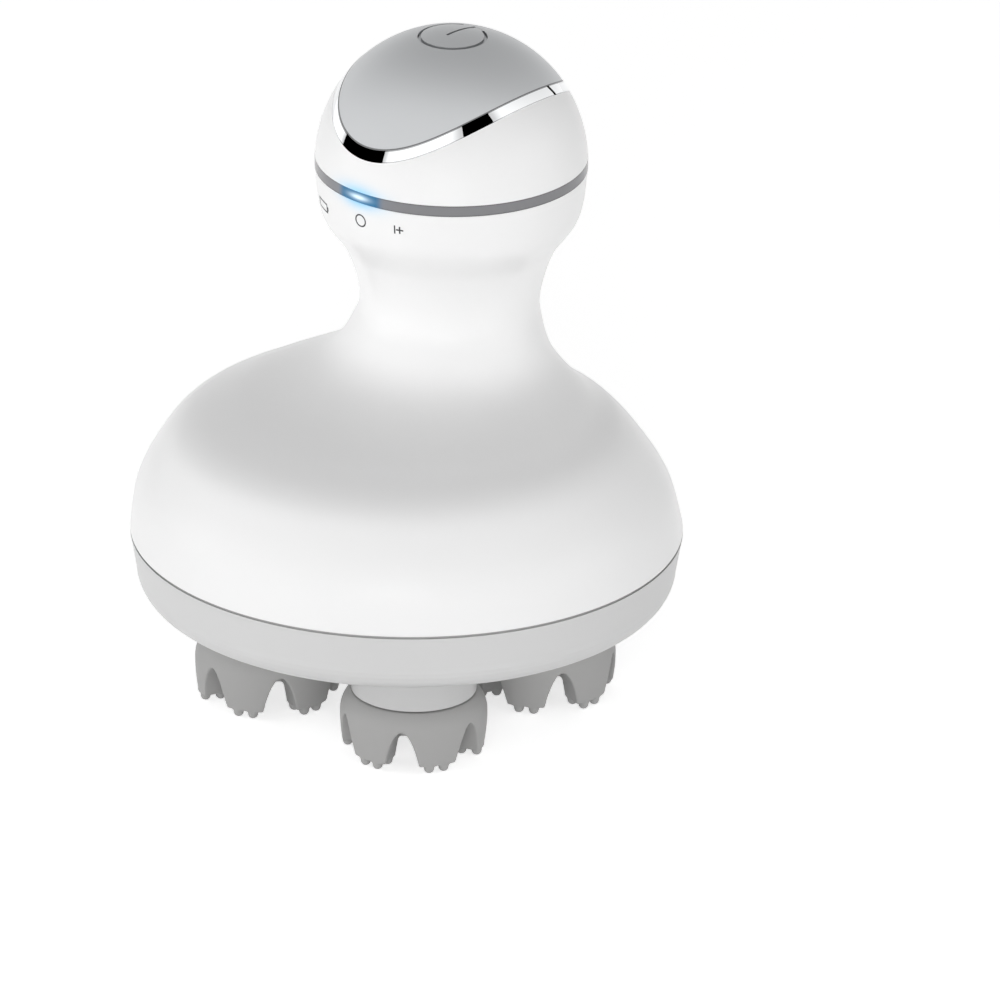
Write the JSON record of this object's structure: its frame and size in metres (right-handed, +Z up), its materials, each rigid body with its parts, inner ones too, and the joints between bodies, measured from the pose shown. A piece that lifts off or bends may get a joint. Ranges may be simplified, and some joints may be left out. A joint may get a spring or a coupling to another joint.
{
  "type": "electric scalp massager",
  "caption": "Handheld battery scalp massager: round knob grip on a leaning neck over a wide dome, with counter-turning soft nubbed massage heads below and a power button on top.",
  "frame": {"origin": "centre of the base in the plane of the nub tips", "axes": "+Z up along the height, -Y towards the front with the indicator lamp, X across the symmetric width"},
  "size_m": [0.0994, 0.0994, 0.1243],
  "materials": {
    "white_shell": "smooth white moulding with a soft gloss",
    "pale_grey_shell": "pale grey moulding, satin",
    "silver_cap": "satin silver lacquer",
    "chrome_trim": "bright plated trim",
    "smoke_ring": "smoke grey light guide",
    "silicone": "matt grey silicone",
    "seal_rubber": "black rubber",
    "bronze": "sintered bronze",
    "ground_steel": "ground steel",
    "gear_resin": "natural acetal",
    "black_resin": "black moulding",
    "frame_resin": "natural glass-filled moulding",
    "motor_can": "zinc-plated can",
    "brass_contact": "plated brass",
    "cell_wrap": "blue shrink wrap over the can",
    "circuit_board": "green solder mask",
    "blue_lamp": "clear blue lamp",
    "screw_steel": "zinc-plated steel"
  },
  "bodies": {
    "housing": {"base_cover": "pale_grey_shell", "base_seal": "seal_rubber", "main_housing": "white_shell", "light_ring": "smoke_ring", "knob_shell": "white_shell", "trim_strip": "chrome_trim", "top_cap": "silver_cap", "gear_frame": "frame_resin", "gear_axle": "ground_steel", "drive_motor": "motor_can", "battery": "cell_wrap", "battery_cradle": "black_resin", "control_board": "circuit_board", "indicator_led": "blue_lamp", "tact_switch": "black_resin", "charging_contacts": "brass_contact", "cover_screws": "screw_steel", "frame_screws": "screw_steel", "motor_screws": "screw_steel", "shaft_bush_1": "bronze", "shaft_bush_2": "bronze", "shaft_bush_3": "bronze", "shaft_bush_4": "bronze", "shaft_seal_1": "seal_rubber", "shaft_seal_2": "seal_rubber", "shaft_seal_3": "seal_rubber", "shaft_seal_4": "seal_rubber"},
    "front_right_head": {"head_gear_1": "gear_resin", "head_shaft_1": "ground_steel", "head_hub_1": "black_resin", "massage_head_1": "silicone"},
    "back_right_head": {"head_gear_2": "gear_resin", "head_shaft_2": "ground_steel", "head_hub_2": "black_resin", "massage_head_2": "silicone"},
    "back_left_head": {"head_gear_3": "gear_resin", "head_shaft_3": "ground_steel", "head_hub_3": "black_resin", "massage_head_3": "silicone"},
    "front_left_head": {"head_gear_4": "gear_resin", "head_shaft_4": "ground_steel", "head_hub_4": "black_resin", "massage_head_4": "silicone"},
    "reduction": {"reduction_gear": "gear_resin"},
    "motor_rotor": {"motor_shaft": "ground_steel", "motor_pinion": "brass_contact"},
    "power_key": {"power_button": "silver_cap", "switch_plunger": "black_resin"}
  },
  "joints": [
    {"name": "head_1_spin", "type": "hinge", "parent": "housing", "child": "front_right_head", "pos_m": [0.0175, -0.0175, 0.02], "axis": [0, 0, 1], "continuous": true},
    {"name": "head_2_spin", "type": "hinge", "parent": "housing", "child": "back_right_head", "pos_m": [0.0175, 0.0175, 0.02], "axis": [0, 0, 1], "continuous": true},
    {"name": "head_3_spin", "type": "hinge", "parent": "housing", "child": "back_left_head", "pos_m": [-0.0175, 0.0175, 0.02], "axis": [0, 0, 1], "continuous": true},
    {"name": "head_4_spin", "type": "hinge", "parent": "housing", "child": "front_left_head", "pos_m": [-0.0175, -0.0175, 0.02], "axis": [0, 0, 1], "continuous": true},
    {"name": "reduction_spin", "type": "hinge", "parent": "housing", "child": "reduction", "pos_m": [0.00159, -0.00159, 0.027], "axis": [0, 0, 1], "continuous": true},
    {"name": "motor_spin", "type": "hinge", "parent": "housing", "child": "motor_rotor", "pos_m": [0, 0.01131, 0.032], "axis": [0, 0, 1], "continuous": true},
    {"name": "power_press", "type": "slide", "parent": "housing", "child": "power_key", "axis": [0, 0, -1], "range_m": [0, 0.0006], "stiffness_N_per_m": 1500, "springref_m": -0.0001}
  ],
  "couplings": [
    {"joint": "head_2_spin", "follows": "head_1_spin", "ratio": -1},
    {"joint": "head_3_spin", "follows": "head_1_spin", "ratio": 1},
    {"joint": "head_4_spin", "follows": "head_1_spin", "ratio": -1},
    {"joint": "reduction_spin", "follows": "head_1_spin", "ratio": -3.5},
    {"joint": "motor_spin", "follows": "head_1_spin", "ratio": 14.7}
  ]
}
